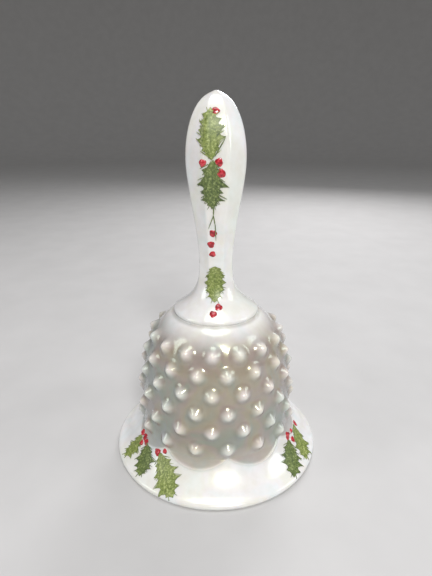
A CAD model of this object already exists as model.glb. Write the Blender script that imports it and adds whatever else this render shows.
# %% [markdown]
# # A hand bell of pressed milk glass
#
# The bell is one pressing: a body covered with hobnails, a flared rim, a cap and a handle with eight
# soft sides. Holly is painted on it in enamel. A bead hangs inside on a fine chain.
# The frame holds the exact sizes and the joints. This lesson gives each piece its finished shape and
# its surface. Lengths are thought of in millimetres and built in metres.

# %% The frame
import math
import bpy
import numpy as np
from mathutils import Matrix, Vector


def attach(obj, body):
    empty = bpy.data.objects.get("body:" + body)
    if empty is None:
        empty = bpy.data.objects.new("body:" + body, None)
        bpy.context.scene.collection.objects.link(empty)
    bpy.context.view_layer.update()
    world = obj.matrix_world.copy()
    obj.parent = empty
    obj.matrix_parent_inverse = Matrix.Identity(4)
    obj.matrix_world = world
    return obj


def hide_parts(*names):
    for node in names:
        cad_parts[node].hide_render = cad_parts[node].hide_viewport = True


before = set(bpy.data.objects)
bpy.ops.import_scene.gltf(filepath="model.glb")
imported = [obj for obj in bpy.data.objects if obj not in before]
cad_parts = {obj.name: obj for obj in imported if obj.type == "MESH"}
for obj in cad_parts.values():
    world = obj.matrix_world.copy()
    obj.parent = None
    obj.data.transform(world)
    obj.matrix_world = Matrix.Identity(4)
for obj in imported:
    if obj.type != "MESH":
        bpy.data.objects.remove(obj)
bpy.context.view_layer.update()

MM = 0.001

# %% [markdown]
# ## Small tools
#
# An operator acts on all that is selected, so each step starts with nothing selected. Numbers that
# describe a whole mesh are quicker to read and write as one array.

# %% Selecting, and reading and writing a mesh's corners
def select_only(*objs):
    if bpy.context.object and bpy.context.object.mode != "OBJECT":
        bpy.ops.object.mode_set(mode="OBJECT")
    bpy.ops.object.select_all(action="DESELECT")
    for obj in objs:
        obj.select_set(True)
    if objs:
        bpy.context.view_layer.objects.active = objs[0]


def corners(obj):
    """The mesh's vertices as rows of x, y and z in millimetres."""
    flat = np.zeros(len(obj.data.vertices) * 3)
    obj.data.vertices.foreach_get("co", flat)
    return flat.reshape(-1, 3) / MM


def move_corners(obj, xyz):
    obj.data.vertices.foreach_set("co", (xyz * MM).ravel())
    obj.data.update()


def face_outwards(obj):
    select_only(obj)
    bpy.ops.object.mode_set(mode="EDIT")
    bpy.ops.mesh.select_all(action="SELECT")
    bpy.ops.mesh.normals_make_consistent(inside=False)
    bpy.ops.object.mode_set(mode="OBJECT")


def soft_shade(obj, angle_deg):
    select_only(obj)
    bpy.ops.object.shade_smooth_by_angle(angle=math.radians(angle_deg))


def triangles(obj):
    return sum(len(p.vertices) - 2 for p in obj.data.polygons)


# %% [markdown]
# ## The outline of the glass
#
# A pressed bell is round, so its shape starts as one outline of radius and height. Smooth stretches
# are cubic curves. They could be drawn as a curve object, but the hobnails need corners at exact
# distances along the wall, so each stretch is measured along its own length and cut into even steps.

# %% Curves and arcs measured along their length
def cubic(p0, p1, p2, p3, fine=800):
    t = np.linspace(0, 1, fine)[:, None]
    s = 1 - t
    p0, p1, p2, p3 = (np.array(p, float) for p in (p0, p1, p2, p3))
    return s**3 * p0 + 3 * s * s * t * p1 + 3 * s * t * t * p2 + t**3 * p3


def arc(centre, radius, start_deg, end_deg, steps):
    a = np.radians(np.linspace(start_deg, end_deg, steps + 1))
    return np.column_stack([centre[0] + radius * np.cos(a), centre[1] + radius * np.sin(a)])


def run_of(pts):
    return np.concatenate([[0], np.cumsum(np.linalg.norm(np.diff(pts, axis=0), axis=1))])


def at_run(pts, where):
    run = run_of(pts)
    return np.column_stack([np.interp(where, run, pts[:, 0]), np.interp(where, run, pts[:, 1])])


def evenly(pts, steps):
    return at_run(pts, np.linspace(0, run_of(pts)[-1], steps + 1))


# %% The outside, from the tip of the handle to the ring that the bell stands on
HOB_ROWS, ROW_STEPS = 6, 13
FOOT_GAP, TOP_GAP = 4.1, 11.2

tip = np.vstack([[[0, 140], [0.45, 139.94], [0.85, 139.8]],
                 evenly(cubic((1.2, 139.6), (8.2, 137.3), (10.6, 126.5), (10.6, 118)), 16)])
grip = evenly(cubic((10.6, 118), (10.6, 109), (6.25, 92.6), (6.25, 80.6)), 20)
dome = evenly(cubic((6.25, 80.6), (6.25, 69.1), (9.65, 66.65), (16.05, 62.25)), 20)
cap_edge = arc((15.5, 61.3), 1.1, 60, -45, 8)

wall_fine = cubic((16.9, 60.2), (28.7, 55.1), (30.4, 32.2), (30.7, 13))
wall_len = run_of(wall_fine)[-1]
row_pitch = (wall_len - FOOT_GAP - TOP_GAP) / (HOB_ROWS - 1)
wall_runs = np.concatenate([np.linspace(0, TOP_GAP, 21),
                            TOP_GAP + row_pitch * np.arange(1, (HOB_ROWS - 1) * ROW_STEPS + 1) / ROW_STEPS,
                            wall_len - FOOT_GAP + np.linspace(0, FOOT_GAP, 10)[1:]])
wall = at_run(wall_fine, wall_runs)

flare_fine = cubic((30.7, 13), (32.7, 9.2), (36.54, 4.47), (41.61, 2.62))
flare_len = run_of(flare_fine)[-1]
flare = at_run(flare_fine, np.concatenate([np.linspace(0, 5, 17), np.linspace(5, flare_len, 15)[1:]]))
lip = arc((41.15, 1.35), 1.35, 70, -90, 11)

outside = np.vstack([tip, grip[1:], dome[1:], cap_edge[1:], wall, flare[1:], lip[1:]])
print("rows on the outside:", len(outside), " wall length", round(wall_len, 2),
      " row pitch", round(row_pitch, 2))

# %% The inside, from the standing ring to the hole for the hanger
GLASS = 3.2
way = np.gradient(wall_fine, axis=0)
way /= np.linalg.norm(way, axis=1)[:, None]
inner_fine = wall_fine + GLASS * np.column_stack([way[:, 1], -way[:, 0]])
inner_fine = inner_fine[(inner_fine[:, 1] > 13) & (inner_fine[:, 1] < 53.4)][::-1]
inner_wall = evenly(inner_fine, 16)
top_r, top_h = inner_wall[-1]
inner_flare = evenly(cubic((39.95, 0), (35.35, 1.6), (29.7, 7.4), inner_wall[0]), 14)
crown = evenly(cubic((top_r, top_h), (top_r - 2.5, top_h + 2.4), (top_r * 0.55, 56.4), (3, 56.4)), 12)
socket = np.array([[3, 65.4], [0, 65.4]])
outline = np.vstack([outside, inner_flare, inner_wall[1:], crown[1:], socket])
print("rows in the whole outline:", len(outline), " inside the crown at", round(float(crown[-1, 1]), 2))

# %% [markdown]
# ## Spinning the glass
#
# The outline is drawn by extruding one corner after another and is then spun a full turn, as a
# glassmaker's mould is turned on a lathe. The number of columns is a multiple of the hobnails in a
# row, so that every hobnail's tip falls on a corner, and so does every tip of the rows between.

# %% One outline, spun into a closed skin
HOBS, COLUMNS = 16, 352
FIRST_HOB = 8.25
turn = math.radians(FIRST_HOB)


def on_meridian(point):
    return Vector((point[0] * math.sin(turn), -point[0] * math.cos(turn), point[1])) * MM


select_only()
bpy.ops.mesh.primitive_plane_add(size=MM, location=on_meridian(outline[0]))
glass = bpy.context.object
glass.name = glass.data.name = "milk_glass_bell"
bpy.ops.object.transform_apply(location=True, rotation=True, scale=True)
bpy.ops.object.mode_set(mode="EDIT")
bpy.ops.mesh.select_all(action="SELECT")
bpy.ops.mesh.merge(type="CENTER")
for here, there in zip(outline[:-1], outline[1:]):
    bpy.ops.mesh.extrude_region_move(
        TRANSFORM_OT_translate={"value": on_meridian(there) - on_meridian(here)})
bpy.ops.mesh.select_all(action="SELECT")
bpy.ops.mesh.spin(steps=COLUMNS, angle=2 * math.pi, center=(0, 0, 0), axis=(0, 0, 1))
bpy.ops.mesh.select_all(action="SELECT")
bpy.ops.mesh.remove_doubles(threshold=0.002 * MM)
bpy.ops.mesh.normals_make_consistent(inside=False)
bpy.ops.object.mode_set(mode="OBJECT")
print("spun glass:", len(glass.data.vertices), "corners,", triangles(glass), "triangles")

# %% [markdown]
# ## Panels, hobnails and the scalloped step
#
# No operator raises a hundred soft-footed points on a curved wall, so these shapes are given by
# moving corners. One function says where the finished surface is, for a direction round the bell and
# a distance down the outline. The glass uses it, and later so does the paint, which then lies on the
# glass everywhere.

# %% Where each row of the outline is, how far down, and which way it faces
rows_run = run_of(outside)
face = np.gradient(outside, axis=0)
face /= np.linalg.norm(face, axis=1)[:, None]
face = np.column_stack([-face[:, 1], face[:, 0]])
wall_at = len(tip) + len(grip) + len(dome) + len(cap_edge) - 3
run_at_crease = rows_run[wall_at]
run_at_flare = run_at_crease + wall_len
hob_runs = [run_at_flare - FOOT_GAP - k * row_pitch for k in range(HOB_ROWS)]


def run_at_height(height):
    """Distance down the outline to a height on the handle or the cap."""
    return float(np.interp(-height, -outside[:wall_at, 1], rows_run[:wall_at]))


def run_at_radius(radius):
    """Distance down the outline to a radius on the wall's foot and the flare."""
    low = slice(wall_at, wall_at + len(wall) + len(flare) - 1)
    return float(np.interp(radius, outside[low, 0], rows_run[low]))


# %% The eight soft sides of the handle
SIDES, EDGE_SHARPNESS = 8, 44
SIDES_FROM, SIDES_FADE = 67, 11      # height where they start above the neck, and over how much
TIP_FROM, TIP_FADE = 139.9, 2.5      # height where they end at the tip, and over how much


def side_factor(azimuth_deg, height):
    """How far the skin stands out from a round handle, which is 1 in the middle of a side."""
    total = sum(np.abs(np.cos(np.radians(azimuth_deg - k * 360 / SIDES))) ** EDGE_SHARPNESS
                for k in range(SIDES // 2))
    fade = np.clip((height - SIDES_FROM) / SIDES_FADE, 0, 1)
    fade = fade * fade * (3 - 2 * fade) * np.clip((TIP_FROM - height) / TIP_FADE, 0, 1)
    return 1 + (total ** (-1 / EDGE_SHARPNESS) - 1) * fade


# %% The hobnails and the scalloped step, as heights above the plain wall
HOB_HEIGHT, HOB_SPREAD = 2.5, 1.6
HOB_FOOT, FOOT_FADE = 4.6, 1.6       # where a hobnail's foot ends, and over how much it fades
SCALLOPS, SCALLOP_R, SCALLOP_LOW = 8, 22, 9.3
SCALLOPS_AT_R = 31.4                 # radius of the glass where the scallops lie
SKIN_STEP, SKIN_TOP, SKIN_FADE = 0.4, 16.5, 4
EDGE_BLUR = 0.5                      # width over which the scalloped edge steps down
BEADING, BEAD_WIDTH, BEAD_SHIFT = 0.28, 0.42, 0.1
SKIRT_ABOVE, SKIRT_BELOW = 9, 8      # how far from the flare's start the step may reach


def from_nearest(azimuth_deg, first, count):
    """Angle from the nearest of count even directions, in degrees."""
    pitch = 360 / count
    return (azimuth_deg - first + pitch / 2) % pitch - pitch / 2


def above_scallops(azimuth_deg, height):
    """How far a height is above the scalloped edge, in millimetres."""
    aside = np.radians(from_nearest(azimuth_deg, FIRST_HOB + 180 / SCALLOPS, SCALLOPS)) * SCALLOPS_AT_R
    return height - (SCALLOP_LOW + SCALLOP_R - np.sqrt(SCALLOP_R**2 - aside**2))


def pattern(azimuth_deg, run, radius, height):
    """Heights above the plain wall in millimetres: of the hobnails, the skin and the beaded line."""
    up = np.zeros_like(run)
    for row, hob_run in enumerate(hob_runs):
        aside = np.radians(from_nearest(azimuth_deg, FIRST_HOB + (row % 2) * 180 / HOBS, HOBS)) * radius
        off = np.sqrt((run - hob_run) ** 2 + aside**2)
        foot = np.clip((HOB_FOOT - off) / FOOT_FADE, 0, 1)
        up += HOB_HEIGHT * np.exp(-(off / HOB_SPREAD) ** 2 / 2) * foot * foot * (3 - 2 * foot)
    above = above_scallops(azimuth_deg, height)
    on_skirt = (run > run_at_flare - SKIRT_ABOVE) & (run < run_at_flare + SKIRT_BELOW)
    skin = np.clip(above / EDGE_BLUR + 0.5, 0, 1) * np.clip((SKIN_TOP - height) / SKIN_FADE, 0, 1)
    line = np.exp(-((above - BEAD_SHIFT) / BEAD_WIDTH) ** 2)
    return up, on_skirt * SKIN_STEP * skin, on_skirt * BEADING * line


# %% The finished surface, and the glass moved onto it
def surface(azimuth_deg, run, lift=0.0):
    """Points on the outside of the glass in millimetres, raised by lift."""
    azimuth_deg, run = np.broadcast_arrays(np.asarray(azimuth_deg, float), np.asarray(run, float))
    radius = np.interp(run, rows_run, outside[:, 0])
    height = np.interp(run, rows_run, outside[:, 1])
    out = np.interp(run, rows_run, face[:, 0])
    up = np.interp(run, rows_run, face[:, 1])
    raised = sum(pattern(azimuth_deg, run, radius, height)) + lift
    around = radius * side_factor(azimuth_deg, height) + out * raised
    a = np.radians(azimuth_deg)
    return np.stack([around * np.sin(a), -around * np.cos(a), height + up * raised], axis=-1)


xyz = corners(glass)
radius, azimuth = np.hypot(xyz[:, 0], xyz[:, 1]), np.degrees(np.arctan2(xyz[:, 0], -xyz[:, 1]))
row_of = np.concatenate([
    np.argmin((r[:, None] - outline[:, 0]) ** 2 + (z[:, None] - outline[:, 1]) ** 2, axis=1)
    for r, z in zip(np.array_split(radius, 40), np.array_split(xyz[:, 2], 40))])
is_outside = row_of < len(outside)
xyz[is_outside] = surface(azimuth[is_outside], rows_run[row_of[is_outside]])
move_corners(glass, xyz)
soft_shade(glass, 50)
print("tallest hobnail stands at radius",
      round(float(np.hypot(*xyz[is_outside & (xyz[:, 2] > 15)][:, :2].T).max()), 2))

# %% [markdown]
# The lustre was sprayed on before the last polish. It is thickest and greyest in the hollows between
# the hobnails, and thin on their tips. Two numbers are kept at each corner for the glass's finish:
# how much of the lustre's tone shows there, and how pale the glass is where it was rubbed.

# %% Where the lustre lies
CREASE_FADE, CREASE_SHARE, CREASE_WIDTH = 10, 0.5, 0.8
THINNED, THINNED_FROM, THINNED_OVER = 0.3, 5, 7      # share lost near the scallops, and where


def keep_numbers(obj, name, values):
    layer = obj.data.attributes.new(name, "FLOAT", "POINT")
    layer.data.foreach_set("value", np.asarray(values, np.float32))


run_here = rows_run[np.minimum(row_of, len(outside) - 1)]
height_here = outside[np.minimum(row_of, len(outside) - 1), 1]
hob_up, _, line_up = pattern(azimuth, run_here, radius, height_here)
below_crease = np.clip((run_here - run_at_crease - 1) / CREASE_FADE, 0, 1)
in_crease = CREASE_SHARE * np.exp(-((run_here - run_at_crease) / CREASE_WIDTH) ** 2)
past_edge = np.clip(above_scallops(azimuth, height_here) / EDGE_BLUR + 0.5, 0, 1)
thinner_below = 1 - THINNED * np.clip((run_here - run_at_flare + THINNED_FROM) / THINNED_OVER, 0, 1)
in_pattern = is_outside * below_crease * past_edge * thinner_below
keep_numbers(glass, "lustre", np.maximum(in_pattern, is_outside * in_crease))
keep_numbers(glass, "rubbed", is_outside * np.clip((hob_up / HOB_HEIGHT - 0.15) / 0.7, 0, 1)
             + is_outside * line_up / BEADING)
print("share of the corners in the pattern:", round(float((in_pattern > 0.5).mean()), 3))

# %% [markdown]
# ## The painted holly
#
# The enamel is brushed on and fired. It stands a tenth of a millimetre above the glass. A leaf could
# be an image, but then it would have no shape of its own. Here it is a thin grid, as wide as the leaf
# from its rib to its spines, laid on the surface and given thickness. The grid's own map runs along
# the rib, so that the colour can follow it.

# %% A leaf or a brush stroke between two places on the glass
LEAF_ROWS = 60
PAINT = 0.12


def side_width(t, spines, waist):
    """Half width along one side of a leaf: hollow curves between the spines."""
    places, widths = zip(*([(0, 0.12)] + list(spines) + [(1, 0.05)]))
    places, widths = np.array(places), np.array(widths)
    k = np.clip(np.searchsorted(places, t, side="right") - 1, 0, len(places) - 2)
    f = (t - places[k]) / (places[k + 1] - places[k])
    straight = widths[k] * (1 - f) + widths[k + 1] * f
    return straight * (1 - (1 - waist) * (1 - np.abs(1 - 2 * f) ** 2.2))


def beside(start, end, forward, aside):
    """Azimuth and run of points forward of start and aside from the line to end, in millimetres."""
    (az0, run0), (az1, run1) = start, end
    radius = float(np.interp((run0 + run1) / 2, rows_run, outside[:, 0]))
    along = np.array([math.radians(az1 - az0) * radius, run1 - run0])
    length = np.linalg.norm(along)
    along /= length
    there = run0 + forward * along[1] - aside * along[0]
    turned = forward * along[0] / radius + aside * along[1] / np.interp(there, rows_run, outside[:, 0])
    return az0 + np.degrees(turned), there, length


def painted(name, start, end, one_side, other_side, waist=0.5, sweep=0.5, across=10, rows=LEAF_ROWS,
            lift=PAINT):
    """A film of enamel from start to end, each an azimuth and a distance down the outline."""
    select_only()
    bpy.ops.mesh.primitive_grid_add(x_subdivisions=across, y_subdivisions=rows, size=1)
    leaf = bpy.context.object
    leaf.name = leaf.data.name = name
    flat = corners(leaf) * MM
    t, v = flat[:, 1] + 0.5, flat[:, 0] * 2
    half = np.where(v < 0, side_width(t, one_side, waist), side_width(t, other_side, waist))
    length = beside(start, end, 0, 0)[2]
    az, run, _ = beside(start, end, t * length + sweep * v**2 * half / 2, v * half)
    move_corners(leaf, surface(az, run, lift))
    thicken = leaf.modifiers.new("film", "SOLIDIFY")
    thicken.thickness, thicken.offset = PAINT * 1.6 * MM, 0
    select_only(leaf)
    bpy.ops.object.modifier_apply(modifier="film")
    face_outwards(leaf)
    soft_shade(leaf, 40)
    return leaf


def joined(name, *objs):
    select_only(*objs)
    bpy.ops.object.join()
    whole = bpy.context.object
    whole.name = whole.data.name = name
    return whole


# %% A leaf with the fine strokes that feather its edge
def holly_leaf(name, start, end, one_side, other_side, waist, strokes):
    leaf = painted(name, start, end, one_side, other_side, waist)
    length = beside(start, end, 0, 0)[2]
    feather = []
    for i, t in enumerate(np.linspace(0.1, 0.93, strokes)):
        for side, spines in ((-1, one_side), (1, other_side)):
            half = float(side_width(np.array([t]), spines, waist)[0])
            out = half + 0.45 + 0.35 * math.sin(2.4 * i + side) ** 2
            root = beside(start, end, (t - 0.07) * length, side * half * 0.45)[:2]
            point = beside(start, end, t * length + 0.9 + 0.5 * math.cos(3.1 * i), side * out)[:2]
            width = [(0.3, 0.17), (0.7, 0.1)]
            feather.append(painted(f"{name}_{i}_{side}", root, point, width, width, waist=0.9, sweep=0,
                                   across=2, rows=8, lift=PAINT * 1.6))
    return joined(name, leaf, *feather)


# %% The three leaves on the handle, each with its own spines
def on_handle(azimuth_deg, height):
    return azimuth_deg, run_at_height(height)


upper_leaf = holly_leaf(
    "holly_leaf_upper", on_handle(-8, 118.2), on_handle(-14, 134.3),
    [(0.17, 3.0), (0.35, 5.0), (0.55, 5.3), (0.72, 3.6), (0.87, 2.2)],
    [(0.15, 3.0), (0.33, 4.7), (0.52, 4.3), (0.68, 3.9), (0.85, 2.4)], 0.62, 15)
middle_leaf = holly_leaf(
    "holly_leaf_middle", on_handle(-5, 118.3), on_handle(-9, 101.8),
    [(0.15, 3.6), (0.43, 6.0), (0.62, 4.1), (0.77, 4.3), (0.9, 1.6)],
    [(0.18, 3.2), (0.45, 5.6), (0.6, 3.6), (0.75, 4.4), (0.9, 1.8)], 0.55, 15)
lower_leaf = holly_leaf(
    "holly_leaf_lower", on_handle(-3, 80.2), on_handle(-3, 67.2),
    [(0.03, 2.2), (0.22, 3.6), (0.42, 4.2), (0.62, 3.8), (0.8, 2.6), (0.92, 1.2)],
    [(0.03, 2.2), (0.2, 3.7), (0.4, 4.1), (0.6, 3.7), (0.8, 2.4), (0.92, 1.2)], 0.68, 13)
handle_leaves = [upper_leaf, middle_leaf, lower_leaf]
print("leaf corners:", [len(leaf.data.vertices) for leaf in handle_leaves])

# %% The stems and twigs, drawn as tapering strokes
STROKES = [((-5, 102.6), (-6, 99.2), 0.22), ((-6, 99.4), (-19, 94.6), 0.16), ((-6, 99.4), (-2, 95.9), 0.18),
           ((-2, 96.2), (0, 90.2), 0.16), ((-2, 119.4), (17, 125.2), 0.2), ((-1, 125.0), (17, 129.4), 0.2)]
stems = joined("holly_stems", *[
    painted(f"stroke_{i}", on_handle(*start), on_handle(*end), [(0.25, half), (0.7, half * 0.9)],
            [(0.25, half), (0.7, half * 0.9)], waist=0.95, sweep=0, across=2, rows=24, lift=PAINT * 1.9)
    for i, (start, end, half) in enumerate(STROKES)])
print("strokes:", len(STROKES), " corners:", len(stems.data.vertices))

# %% The leaves on the rim, in three sprigs


def on_rim(azimuth_deg, radius):
    return azimuth_deg, run_at_radius(radius)


RIM_LEAVES = [
    ((-67, 32.6), (-65, 41.2), [(0.25, 2.8), (0.5, 4.2), (0.78, 2.8)], [(0.25, 3.2), (0.5, 4.8), (0.8, 3.6)]),
    ((-56, 32.6), (-46, 41.0), [(0.2, 3.4), (0.42, 4.8), (0.65, 4.0), (0.85, 2.2)],
     [(0.2, 3.4), (0.45, 6.2), (0.7, 4.4), (0.87, 2.4)]),
    ((-42, 32.4), (-22, 41.8), [(0.2, 3.2), (0.4, 4.6), (0.6, 5.2), (0.78, 5.0), (0.9, 2.4)],
     [(0.2, 4.4), (0.4, 6.2), (0.6, 5.8), (0.8, 3.8), (0.92, 1.6)]),
    ((62.5, 33.2), (46, 41.7), [(0.2, 4.0), (0.4, 5.6), (0.6, 5.0), (0.8, 3.0)],
     [(0.2, 4.0), (0.4, 5.2), (0.6, 4.6), (0.82, 2.8)]),
    ((81, 33.4), (62, 41.4), [(0.2, 3.4), (0.42, 5.2), (0.65, 4.6), (0.85, 2.4)],
     [(0.25, 3.4), (0.5, 4.8), (0.75, 3.4)]),
    ((168, 33), (176, 41.6), [(0.2, 3.6), (0.42, 5.0), (0.62, 4.4), (0.8, 2.6)],
     [(0.22, 4.0), (0.42, 5.2), (0.62, 4.6), (0.82, 2.6)]),
    ((190, 33), (190, 41.6), [(0.25, 3.6), (0.5, 4.8), (0.75, 3.2)], [(0.25, 3.8), (0.5, 5.0), (0.75, 3.4)]),
    ((212, 33), (203, 41.6), [(0.22, 3.6), (0.42, 5.0), (0.62, 4.2), (0.8, 2.6)],
     [(0.22, 4.0), (0.42, 5.2), (0.62, 4.4), (0.82, 2.6)])]
rim_leaves = [holly_leaf(f"holly_leaf_rim_{i + 1}", on_rim(*start), on_rim(*end), one, other, 0.6, 11)
              for i, (start, end, one, other) in enumerate(RIM_LEAVES)]
print("leaves on the rim:", len(rim_leaves))

# %% [markdown]
# ## The berries
#
# Each berry is one full drop of red enamel, so it stands a little higher than the leaves and is a
# little uneven. A sphere is cut in half, pressed flat, given lobes and laid on the glass.

# %% One drop of enamel, laid where it is wanted
BERRY_R, BERRY_RISE = 1.4, 0.36


def berry(azimuth_deg, run, size, phase):
    select_only()
    bpy.ops.mesh.primitive_uv_sphere_add(segments=20, ring_count=12, radius=BERRY_R * MM)
    drop = bpy.context.object
    bpy.ops.object.mode_set(mode="EDIT")
    bpy.ops.mesh.select_all(action="SELECT")
    bpy.ops.mesh.bisect(plane_co=(0, 0, -0.3 * MM), plane_no=(0, 0, 1), use_fill=True, clear_inner=True)
    bpy.ops.object.mode_set(mode="OBJECT")
    xyz = corners(drop)
    round_it = np.arctan2(xyz[:, 1], xyz[:, 0])
    lobes = size * (1 + 0.09 * np.cos(3 * round_it + phase) + 0.05 * np.cos(5 * round_it - 2 * phase))
    radius = float(np.interp(run, rows_run, outside[:, 0]))
    across, down = xyz[:, 0] * lobes, xyz[:, 1] * lobes
    lift = np.where(xyz[:, 2] > 0, xyz[:, 2] / BERRY_R * BERRY_RISE, xyz[:, 2] * 0.3)
    move_corners(drop, surface(azimuth_deg + np.degrees(across / radius), run + down, lift))
    face_outwards(drop)
    soft_shade(drop, 60)
    return drop


HANDLE_BERRIES = [(-1, 133.3, 0.95), (-24, 117.2, 0.95), (5, 117.5, 1), (9, 113.9, 1.1), (-8, 92.8, 0.95),
                  (-15, 88.6, 0.9), (-11, 84.9, 0.8), (5, 65.9, 1), (-4.5, 64.1, 1)]
RIM_BERRIES = [(-67, 32.3, 1), (-61.5, 32.2, 0.95), (-57.5, 32.9, 1), (-62.5, 34.2, 0.85), (-44, 32.6, 1.05),
               (-38.5, 31.6, 0.7), (84.7, 34.4, 1), (70.5, 32.8, 0.75), (63.7, 32.4, 1.15), (67, 34.4, 0.9),
               (183, 32.6, 1), (188.5, 31.8, 1), (196, 32.4, 0.9)]
handle_berries = joined("holly_berries_handle", *[
    berry(*on_handle(az, z), size, i * 1.7) for i, (az, z, size) in enumerate(HANDLE_BERRIES)])
rim_berries = joined("holly_berries_rim", *[
    berry(*on_rim(az, r), size, i * 2.3) for i, (az, r, size) in enumerate(RIM_BERRIES)])
print("berries:", len(HANDLE_BERRIES), "on the handle,", len(RIM_BERRIES), "on the rim")

# %% [markdown]
# ## Materials
#
# Every finish is built from nodes, so that it has its own detail at a real size. Patterns read Object
# coordinates, which are metres here: a pattern that repeats every 5 mm has a scale of 1 / 0.005.

# %% Colours as they are seen, and one way to add a node
def seen(hex_colour):
    """An sRGB hex colour as linear red, green, blue and alpha."""
    parts = [int(hex_colour[i:i + 2], 16) / 255 for i in (1, 3, 5)]
    return [c / 12.92 if c <= 0.04045 else ((c + 0.055) / 1.055) ** 2.4 for c in parts] + [1.0]


def per_mm(size_mm):
    return 1 / (size_mm * MM)


def add(tree, kind, values=(), links=(), stops=(), **settings):
    """A node with its settings, its values, its links and, when it is a ramp, its colours."""
    node = tree.nodes.new(kind)
    for name, value in settings.items():
        setattr(node, name, value)
    for socket, value in dict(values).items():
        node.inputs[socket].default_value = value
    for socket, source in dict(links).items():
        tree.links.new(source, node.inputs[socket])
    while stops and len(node.color_ramp.elements) < len(stops):
        node.color_ramp.elements.new(0.5)
    for i, (at, colour) in enumerate(stops):
        node.color_ramp.elements[i].position = at
        node.color_ramp.elements[i].color = seen(colour)
    return node


def start_material(name, values):
    """A new material with its shader's own values set, as the tree, the shader and its coordinates."""
    material = bpy.data.materials.new(name)
    material.use_nodes = True
    tree = material.node_tree
    shader = tree.nodes["Principled BSDF"]
    for socket, value in values.items():
        shader.inputs[socket].default_value = value
    place = add(tree, "ShaderNodeTexCoord")
    return material, tree, shader, place


def connect(tree, shader, sources):
    """Joins the last node of each pattern to the shader's socket that it drives."""
    for socket, source in sources.items():
        tree.links.new(source, shader.inputs[socket])


# %% [markdown]
# Milk glass is soda-lime glass made white by fine crystals, pressed hot and then sprayed with a
# metal-salt lustre. Light goes a few millimetres in, so edges look soft. The lustre gives a wet gloss
# and faint clouds of pink, yellow, green and blue. The mould leaves slow waves of a few millimetres.

# %% Pearl-lustred pressed milk glass
MIX_A, MIX_B, MIXED = 6, 7, 2
pearl_glass, tree, shader, place = start_material("pearl_lustred_pressed_milk_glass", {
    "Roughness": 0.2, "IOR": 1.52, "Coat Weight": 0.5, "Coat Roughness": 0.09, "Coat IOR": 1.6,
    "Subsurface Weight": 0.1, "Subsurface Scale": 1.2 * MM, "Subsurface Radius": (1.0, 0.85, 0.7),
    "Thin Film Thickness": 255, "Thin Film IOR": 1.66})
here = {"Vector": place.outputs["Object"]}
cloud = add(tree, "ShaderNodeTexNoise", {
    "Scale": per_mm(15), "Detail": 3, "Roughness": 0.55, "Distortion": 0.6}, here)
plain = add(tree, "ShaderNodeValToRGB", links={"Fac": cloud.outputs["Fac"]}, stops=[
    (0.3, "#EFF1EA"), (0.45, "#F2F0E8"), (0.55, "#F3EFED"), (0.7, "#ECF0EF")])
grey_lustre = add(tree, "ShaderNodeValToRGB", links={"Fac": cloud.outputs["Fac"]}, stops=[
    (0.3, "#9C9B90"), (0.41, "#A69A88"), (0.48, "#A6968E"),
    (0.55, "#9F958C"), (0.62, "#98998D"), (0.72, "#979593")])
thin_lustre = add(tree, "ShaderNodeValToRGB", links={"Fac": cloud.outputs["Fac"]}, stops=[
    (0.3, "#E4E3DB"), (0.41, "#EBE3D4"), (0.48, "#EBE0DB"),
    (0.55, "#E9E4DC"), (0.62, "#E2E5DB"), (0.72, "#E2E3E3")])
rubbed = add(tree, "ShaderNodeAttribute", attribute_name="rubbed")
laid = add(tree, "ShaderNodeAttribute", attribute_name="lustre")
in_hobs = add(tree, "ShaderNodeMix", data_type="RGBA", links={
    0: rubbed.outputs["Fac"], MIX_A: grey_lustre.outputs["Color"], MIX_B: thin_lustre.outputs["Color"]})
tinted = add(tree, "ShaderNodeMix", data_type="RGBA", links={
    0: laid.outputs["Fac"], MIX_A: plain.outputs["Color"], MIX_B: in_hobs.outputs[MIXED]})
dust = add(tree, "ShaderNodeTexNoise", {"Scale": per_mm(4), "Detail": 2}, here)
dusting = add(tree, "ShaderNodeValToRGB", links={"Fac": dust.outputs["Fac"]}, stops=[
    (0.35, "#F0ECE4"), (0.65, "#FFFFFF")])
dusted = add(tree, "ShaderNodeMix", {0: 0.4}, data_type="RGBA", blend_type="MULTIPLY", links={
    MIX_A: tinted.outputs[MIXED], MIX_B: dusting.outputs["Color"]})
patches = add(tree, "ShaderNodeTexNoise", {"Scale": per_mm(9), "Detail": 4}, here)
polish = add(tree, "ShaderNodeMapRange", {"To Min": 0.14, "To Max": 0.3}, {"Value": patches.outputs["Fac"]})
mould = add(tree, "ShaderNodeTexNoise", {"Scale": per_mm(5), "Detail": 1}, here)
waves = add(tree, "ShaderNodeBump", {"Strength": 0.35, "Distance": 0.12 * MM},
            {"Height": mould.outputs["Fac"]})
connect(tree, shader, {"Base Color": dusted.outputs[MIXED], "Roughness": polish.outputs["Result"],
                       "Normal": waves.outputs["Normal"]})
print("milk glass nodes:", len(tree.nodes))

# %% [markdown]
# The enamel is coloured glass ground fine, brushed on with oil and fired. It keeps the streaks of the
# brush, a grain of small specks, and darker colour along the rib and at the spines. It is less glossy
# than the glass. The leaf's own map gives the place across the leaf and along it.

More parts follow.
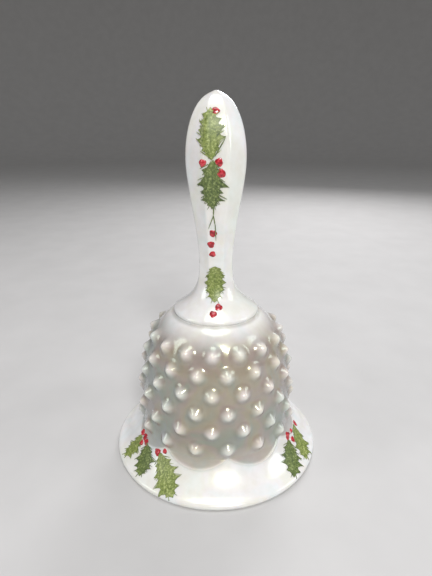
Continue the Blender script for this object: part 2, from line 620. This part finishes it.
# %% Fired enamel for the leaves, in two greens
def leaf_enamel(name, deep, middle, light, wash):
    material, tree, shader, place = start_material(name, {"Roughness": 0.45, "IOR": 1.5, "Coat Weight": 0.08,
                                                          "Coat Roughness": 0.25})
    here = {"Vector": place.outputs["Object"]}
    speck = add(tree, "ShaderNodeTexNoise", {"Scale": per_mm(0.75), "Detail": 3, "Roughness": 0.7}, here)
    greens = add(tree, "ShaderNodeValToRGB", links={"Fac": speck.outputs["Fac"]}, stops=[
        (0.38, deep), (0.47, middle), (0.54, middle), (0.62, light)])
    brushing = add(tree, "ShaderNodeTexNoise", {"Scale": per_mm(3.2), "Detail": 2}, here)
    washes = add(tree, "ShaderNodeValToRGB", links={"Fac": brushing.outputs["Fac"]}, stops=[
        (0.42, middle), (0.66, wash)])
    body = add(tree, "ShaderNodeMix", {0: 0.25}, data_type="RGBA", links={
        MIX_A: greens.outputs["Color"], MIX_B: washes.outputs["Color"]})
    split = add(tree, "ShaderNodeSeparateXYZ", links={"Vector": place.outputs["UV"]})
    aside = add(tree, "ShaderNodeMath", {1: 0.5}, {0: split.outputs["X"]}, operation="SUBTRACT")
    from_rib = add(tree, "ShaderNodeMath", links={0: aside.outputs[0]}, operation="ABSOLUTE")
    slant = add(tree, "ShaderNodeMath", {1: 0.32}, {0: from_rib.outputs[0], 2: split.outputs["Y"]},
                operation="MULTIPLY_ADD")
    veins = add(tree, "ShaderNodeMath", {1: 2 * math.pi * 9}, {0: slant.outputs[0]}, operation="MULTIPLY")
    ribbing = add(tree, "ShaderNodeMath", links={0: veins.outputs[0]}, operation="COSINE")
    near_vein = add(tree, "ShaderNodeMapRange", {"From Min": 0.72, "From Max": 1, "To Max": 0.22},
                    {"Value": ribbing.outputs[0]})
    near_rib = add(tree, "ShaderNodeMapRange", {"From Min": 0.05, "From Max": 0.0, "To Max": 0.5},
                   {"Value": from_rib.outputs[0]})
    near_edge = add(tree, "ShaderNodeMapRange", {"From Min": 0.34, "From Max": 0.5, "To Max": 0.45},
                    {"Value": from_rib.outputs[0]})
    both = add(tree, "ShaderNodeMath", links={0: near_vein.outputs[0], 1: near_rib.outputs[0]},
               operation="MAXIMUM")
    dark = add(tree, "ShaderNodeMath", links={0: both.outputs[0], 1: near_edge.outputs[0]},
               operation="MAXIMUM")
    shaded = add(tree, "ShaderNodeMix", {MIX_B: seen(deep)}, data_type="RGBA", links={
        0: dark.outputs[0], MIX_A: body.outputs[MIXED]})
    sheen = add(tree, "ShaderNodeMapRange", {"To Min": 0.28, "To Max": 0.5}, {"Value": speck.outputs["Fac"]})
    grit = add(tree, "ShaderNodeBump", {"Strength": 0.4, "Distance": 0.05 * MM},
               {"Height": speck.outputs["Fac"]})
    connect(tree, shader, {"Base Color": shaded.outputs[MIXED], "Roughness": sheen.outputs["Result"],
                           "Normal": grit.outputs["Normal"]})
    return material


leaf_green = leaf_enamel("fired_enamel_olive_green", "#4E5C2C", "#84924A", "#BDC684", "#B5BA78")
leaf_deep = leaf_enamel("fired_enamel_deep_green", "#3C4B2C", "#66763F", "#A6B176", "#8A9850")

# %% Fired enamel for the berries, thick enough to gloss over
berry_red, tree, shader, place = start_material("fired_enamel_berry_red", {
    "Roughness": 0.24, "IOR": 1.52, "Coat Weight": 0.5, "Coat Roughness": 0.08})
here = {"Vector": place.outputs["Object"]}
drops = add(tree, "ShaderNodeTexNoise", {"Scale": per_mm(1.1), "Detail": 2}, here)
reds = add(tree, "ShaderNodeValToRGB", links={"Fac": drops.outputs["Fac"]}, stops=[
    (0.38, "#8F1822"), (0.5, "#BC2731"), (0.66, "#D64850")])
patches = add(tree, "ShaderNodeTexNoise", {"Scale": per_mm(0.6), "Detail": 2}, here)
polish = add(tree, "ShaderNodeMapRange", {"To Min": 0.18, "To Max": 0.34}, {"Value": patches.outputs["Fac"]})
settled = add(tree, "ShaderNodeTexNoise", {"Scale": per_mm(0.8), "Detail": 1}, here)
waves = add(tree, "ShaderNodeBump", {"Strength": 0.3, "Distance": 0.04 * MM},
            {"Height": settled.outputs["Fac"]})
connect(tree, shader, {"Base Color": reds.outputs["Color"], "Roughness": polish.outputs["Result"],
                       "Normal": waves.outputs["Normal"]})

# %% [markdown]
# The hanger, links and pin are brass wire drawn through a die and bent. Drawing leaves fine lines
# along the wire, and handling and air leave it duller and browner in patches. The hole in the glass
# is filled with a pale, chalky cement. The bead is opaque white glass, wound and fire-polished.

# %% Drawn brass wire, cement and bead glass
brass, tree, shader, place = start_material("drawn_brass_wire", {"Metallic": 1.0, "Roughness": 0.3})
here = {"Vector": place.outputs["Object"]}
handling = add(tree, "ShaderNodeTexNoise", {"Scale": per_mm(1.6), "Detail": 4, "Roughness": 0.6}, here)
tarnish = add(tree, "ShaderNodeValToRGB", links={"Fac": handling.outputs["Fac"]}, stops=[
    (0.35, "#8A6A34"), (0.5, "#C29A4E"), (0.68, "#D9B566")])
scuffs = add(tree, "ShaderNodeTexNoise", {"Scale": per_mm(0.9), "Detail": 4}, here)
dulled = add(tree, "ShaderNodeMapRange", {"To Min": 0.2, "To Max": 0.48}, {"Value": scuffs.outputs["Fac"]})
squeezed = add(tree, "ShaderNodeMapping", {"Scale": (1, 1, 0.12)}, {"Vector": place.outputs["Object"]})
die_lines = add(tree, "ShaderNodeTexNoise", {"Scale": per_mm(0.18), "Detail": 2},
                {"Vector": squeezed.outputs["Vector"]})
drawn = add(tree, "ShaderNodeBump", {"Strength": 0.35, "Distance": 0.02 * MM},
            {"Height": die_lines.outputs["Fac"]})
connect(tree, shader, {"Base Color": tarnish.outputs["Color"], "Roughness": dulled.outputs["Result"],
                       "Normal": drawn.outputs["Normal"]})

cement, tree, shader, place = start_material("chalky_plaster_cement", {"Roughness": 0.85, "IOR": 1.5})
here = {"Vector": place.outputs["Object"]}
mix = add(tree, "ShaderNodeTexNoise", {"Scale": per_mm(1.4), "Detail": 5, "Roughness": 0.7}, here)
chalk = add(tree, "ShaderNodeValToRGB", links={"Fac": mix.outputs["Fac"]}, stops=[
    (0.35, "#C4BBA8"), (0.65, "#E2DCCD")])
damp = add(tree, "ShaderNodeTexNoise", {"Scale": per_mm(0.7), "Detail": 3}, here)
dulled = add(tree, "ShaderNodeMapRange", {"To Min": 0.75, "To Max": 0.95}, {"Value": damp.outputs["Fac"]})
grains = add(tree, "ShaderNodeTexNoise", {"Scale": per_mm(0.45), "Detail": 4}, here)
pitted = add(tree, "ShaderNodeBump", {"Strength": 0.6, "Distance": 0.08 * MM},
             {"Height": grains.outputs["Fac"]})
connect(tree, shader, {"Base Color": chalk.outputs["Color"], "Roughness": dulled.outputs["Result"],
                       "Normal": pitted.outputs["Normal"]})

bead_glass, tree, shader, place = start_material("fire_polished_opal_bead_glass", {
    "Roughness": 0.15, "IOR": 1.52, "Coat Weight": 0.3, "Coat Roughness": 0.05, "Subsurface Weight": 0.2,
    "Subsurface Scale": 2 * MM})
stretched = add(tree, "ShaderNodeMapping", {"Scale": (0.4, 0.4, 1.6)}, {"Vector": place.outputs["Object"]})
winding = add(tree, "ShaderNodeTexNoise", {"Scale": per_mm(3), "Detail": 3, "Distortion": 0.8},
              {"Vector": stretched.outputs["Vector"]})
opal = add(tree, "ShaderNodeValToRGB", links={"Fac": winding.outputs["Fac"]}, stops=[
    (0.38, "#DCD8CC"), (0.55, "#F0EEE8"), (0.7, "#F7F6F2")])
polish = add(tree, "ShaderNodeMapRange", {"To Min": 0.08, "To Max": 0.24}, {"Value": winding.outputs["Fac"]})
waves = add(tree, "ShaderNodeBump", {"Strength": 0.25, "Distance": 0.06 * MM},
            {"Height": winding.outputs["Fac"]})
connect(tree, shader, {"Base Color": opal.outputs["Color"], "Roughness": polish.outputs["Result"],
                       "Normal": waves.outputs["Normal"]})
finishes = [pearl_glass, leaf_green, leaf_deep, berry_red, brass, cement, bead_glass]
print("materials:", [finish.name for finish in finishes])

# %% [markdown]
# ## Putting it together
#
# Each new piece is given its material, rides on the bell, and stands for the plain piece of the frame
# that has its size. The chain and the bead keep the frame's exact shapes, so that they turn on each
# other as the joints do, and only take their finish here.

# %% Pieces, their materials and what they stand for
def finish_piece(piece, material, slot, *nodes):
    piece.data.materials.clear()
    piece.data.materials.append(material)
    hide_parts(*nodes)
    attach(piece, "bell")


finish_piece(glass, pearl_glass, "milk_glass", "bell_glass")
finish_piece(upper_leaf, leaf_green, "leaf_green", "handle_leaf_upper")
finish_piece(middle_leaf, leaf_deep, "leaf_deep", "handle_leaf_middle")
finish_piece(lower_leaf, leaf_green, "leaf_green", "handle_leaf_lower")
finish_piece(stems, leaf_deep, "leaf_deep", "handle_stems")
finish_piece(handle_berries, berry_red, "berry_red", "handle_berries")
finish_piece(rim_berries, berry_red, "berry_red", "rim_berries")
for i, leaf in enumerate(rim_leaves):
    if i % 2 == 0:
        finish_piece(leaf, leaf_green, "leaf_green", f"rim_leaf_{i + 1}")
    else:
        finish_piece(leaf, leaf_deep, "leaf_deep", f"rim_leaf_{i + 1}")

kept_nodes = {"hanger_eye": brass, "clapper_pin": brass, "hanger_cement": cement, "clapper_bead": bead_glass}
kept_nodes.update({f"chain_link_{i}": brass for i in range(1, 6)})
for name, material in kept_nodes.items():
    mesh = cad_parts[name].data
    mesh.materials.clear()
    mesh.materials.append(material)

# %% [markdown]
# ## Floor, light and camera
#
# The bell stands on a plain pale floor. A wide soft light hangs over it, so that the cap and the rim
# are bright and the upright wall falls into a gentle shade. Smaller soft lights stand at the front,
# the sides and the back. The standard view keeps white glass white, which the default would grey.

# %% Floor that sweeps up all round, and sky
FLOOR_R, FLAT_RING, SWEEP_R, WALL_H = 1.5, 0.9, 0.7, 1.2      # in metres
select_only()
bpy.ops.mesh.primitive_circle_add(vertices=96, radius=FLOOR_R, fill_type="NGON", location=(0, 0, 0))
floor = bpy.context.object
floor.name = "floor"
bpy.ops.object.mode_set(mode="EDIT")
bpy.ops.mesh.select_all(action="SELECT")
bpy.ops.mesh.inset(thickness=FLAT_RING)
bpy.ops.mesh.select_all(action="INVERT")
bpy.ops.object.mode_set(mode="OBJECT")
for vertex in floor.data.vertices:
    vertex.select = vertex.co.xy.length > FLOOR_R * 0.95
for edge in floor.data.edges:
    edge.select = all(floor.data.vertices[v].select for v in edge.vertices)
bpy.ops.object.mode_set(mode="EDIT")
bpy.ops.mesh.select_mode(type="EDGE")
SWEEP = [math.radians(a) for a in range(10, 91, 10)]
for before, after in zip([0] + SWEEP[:-1], SWEEP):
    out = SWEEP_R * (math.sin(after) - math.sin(before))
    up = SWEEP_R * (math.cos(before) - math.cos(after))
    bpy.ops.mesh.extrude_region_move(TRANSFORM_OT_translate={"value": (0, 0, up)})
    now_r = FLOOR_R + SWEEP_R * math.sin(before)
    grow = (now_r + out) / now_r
    bpy.ops.transform.resize(value=(grow, grow, 1), center_override=(0, 0, 0))
bpy.ops.mesh.extrude_region_move(TRANSFORM_OT_translate={"value": (0, 0, WALL_H)})
bpy.ops.object.mode_set(mode="OBJECT")
soft_shade(floor, 60)
pale, tree, shader, place = start_material("pale_matt_table", {"Roughness": 0.75})
fibres = add(tree, "ShaderNodeTexNoise", {"Scale": per_mm(30), "Detail": 3},
             {"Vector": place.outputs["Object"]})
grain = add(tree, "ShaderNodeValToRGB", links={"Fac": fibres.outputs["Fac"]}, stops=[
    (0.3, "#C6C4C1"), (0.7, "#CBC9C6")])
connect(tree, shader, {"Base Color": grain.outputs["Color"]})
floor.data.materials.append(pale)

world = bpy.data.worlds.new("studio")
bpy.context.scene.world = world
world.use_nodes = True
sky = world.node_tree.nodes["Background"]
sky.inputs["Color"].default_value = seen("#D8DADD")
sky.inputs["Strength"].default_value = 0.28


# %% Lights
def soft_light(name, place, aim, size, power, colour="#FFFFFF", tall=None):
    data = bpy.data.lights.new(name, "AREA")
    data.shape = "ELLIPSE"
    data.size, data.size_y = size, tall or size
    data.energy, data.color = power, seen(colour)[:3]
    light = bpy.data.objects.new(name, data)
    bpy.context.scene.collection.objects.link(light)
    light.location = place
    light.rotation_euler = (Vector(aim) - Vector(place)).to_track_quat("-Z", "Y").to_euler()
    return light


soft_light("overhead", (0.0, 0.0, 0.9), (0, 0, 0.05), 0.5, 2.5, "#FAFBFF")
soft_light("front_key", (0.14, -0.62, 0.56), (0, 0, 0.08), 0.2, 4.2, "#FAFBFF")
soft_light("left_fill", (-0.6, -0.2, 0.35), (0, 0, 0.06), 0.25, 0.85, "#FDFCFF", tall=0.4)
soft_light("right_fill", (0.6, -0.1, 0.35), (0, 0, 0.06), 0.25, 0.85, "#FAFBFF", tall=0.4)
soft_light("back_fill", (0.2, 0.6, 0.42), (0, 0, 0.07), 0.3, 2.2, "#FBFBFF")
bpy.context.scene.view_settings.view_transform = "Standard"

# %% Camera
EYE_BACK, EYE_UP, LOOKS_DOWN_DEG = 0.1585, 0.1292, 20.7      # metres, metres and degrees
SENSOR, LENS = 36, 27.06                                     # millimetres
camera = bpy.data.objects.new("camera", bpy.data.cameras.new("camera"))
bpy.context.scene.collection.objects.link(camera)
bpy.context.scene.camera = camera
camera.data.sensor_width, camera.data.lens = SENSOR, LENS
camera.data.clip_start = 0.01
camera.location = (0, -EYE_BACK, EYE_UP)
camera.rotation_euler = (math.radians(90 - LOOKS_DOWN_DEG), 0, 0)
